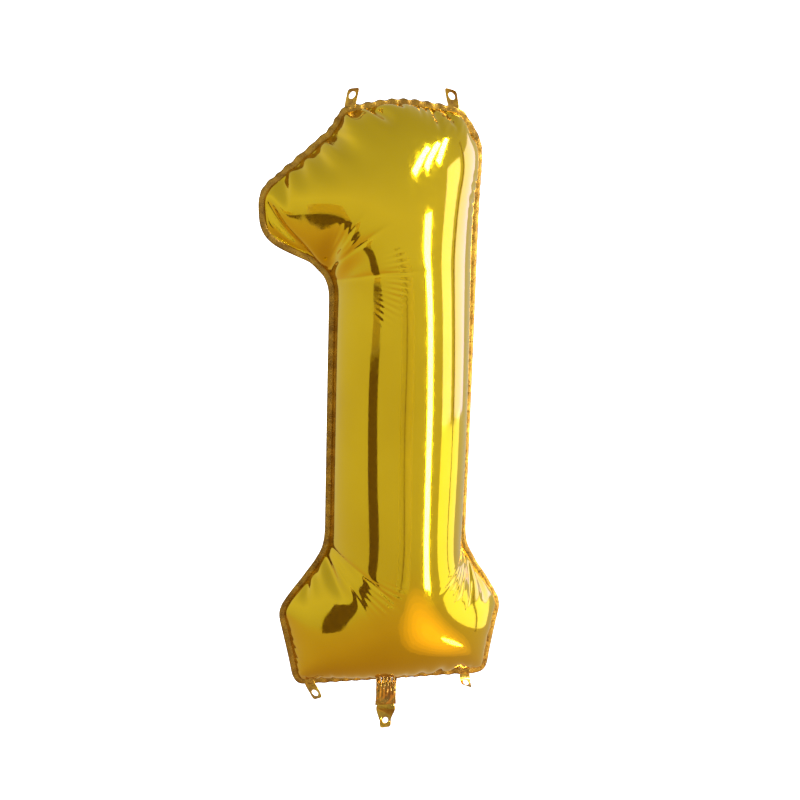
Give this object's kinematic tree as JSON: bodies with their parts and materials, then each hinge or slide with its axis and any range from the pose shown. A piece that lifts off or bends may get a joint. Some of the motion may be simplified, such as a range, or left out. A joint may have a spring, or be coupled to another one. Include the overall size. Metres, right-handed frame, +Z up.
{
  "type": "foil number balloon",
  "caption": "Inflated numeral one foil balloon: two gold film panels sealed along a flat band, hanging tabs with holes and a filling neck with a flat valve.",
  "frame": {"origin": "on the neck's centre line where the neck leaves the bottom cut edge, in the seam plane", "axes": "+Z up the numeral, +X to its right seen from the front, +Y towards its back; the front panel bulges towards -Y"},
  "size_m": [0.3768, 0.2186, 0.9587],
  "materials": {
    "front_foil": "mirror-bright gold metallised film",
    "back_foil": "mirror-bright gold metallised film",
    "seal_foil": "gold film, heat-sealed and finely puckered",
    "tab_foil": "gold film, both plies sealed, creased",
    "neck_foil": "gold film, crumpled",
    "valve_film": "clear polyethylene film"
  },
  "bodies": {
    "envelope": {"front_panel": "front_foil", "back_panel": "back_foil", "seal_band": "seal_foil", "throat_front_film": "neck_foil", "throat_back_film": "neck_foil", "valve_front_film": "valve_film", "valve_back_film": "valve_film"},
    "neck": {"neck_front_film": "neck_foil", "neck_back_film": "neck_foil", "valve_inlet_front_film": "valve_film", "valve_inlet_back_film": "valve_film"},
    "neck_end": {"neck_end_front_film": "neck_foil", "neck_end_back_film": "neck_foil"},
    "tab_top_left_body": {"tab_top_left": "tab_foil"},
    "tab_top_right_body": {"tab_top_right": "tab_foil"},
    "tab_bottom_left_body": {"tab_bottom_left": "tab_foil"},
    "tab_bottom_right_body": {"tab_bottom_right": "tab_foil"},
    "valve_front_flap_body": {"valve_front_flap": "valve_film"},
    "valve_back_flap_body": {"valve_back_flap": "valve_film"}
  },
  "joints": [
    {"name": "tab_top_left_bend", "type": "hinge", "parent": "envelope", "child": "tab_top_left_body", "pos_m": [-0.07512, 0, 0.85102], "axis": [0.9694, 0, 0.2454], "range_deg": [-90, 90]},
    {"name": "tab_top_right_bend", "type": "hinge", "parent": "envelope", "child": "tab_top_right_body", "pos_m": [0.07208, 0, 0.85636], "axis": [0.9881, 0, -0.1537], "range_deg": [-90, 90]},
    {"name": "tab_bottom_left_bend", "type": "hinge", "parent": "envelope", "child": "tab_bottom_left_body", "pos_m": [-0.118, 0, -0.0005], "axis": [-1, 0, 0], "range_deg": [-90, 90]},
    {"name": "tab_bottom_right_bend", "type": "hinge", "parent": "envelope", "child": "tab_bottom_right_body", "pos_m": [0.125, 0, -0.0005], "axis": [-1, 0, 0], "range_deg": [-90, 90]},
    {"name": "neck_bend", "type": "hinge", "parent": "envelope", "child": "neck", "pos_m": [0, 0, -0.001], "axis": [1, 0, 0], "range_deg": [-60, 60]},
    {"name": "neck_fold", "type": "hinge", "parent": "neck", "child": "neck_end", "pos_m": [0, 0, -0.042], "axis": [1, 0, 0], "range_deg": [-110, 110]},
    {"name": "valve_front_opening", "type": "hinge", "parent": "envelope", "child": "valve_front_flap_body", "pos_m": [0, -0.0003, 0.03415], "axis": [1, 0, 0], "range_deg": [0, 6]},
    {"name": "valve_back_opening", "type": "hinge", "parent": "envelope", "child": "valve_back_flap_body", "pos_m": [0, 0.0003, 0.03415], "axis": [1, 0, 0], "range_deg": [-6, 0]}
  ],
  "couplings": [
    {"joint": "valve_back_opening", "follows": "valve_front_opening", "ratio": -1}
  ]
}
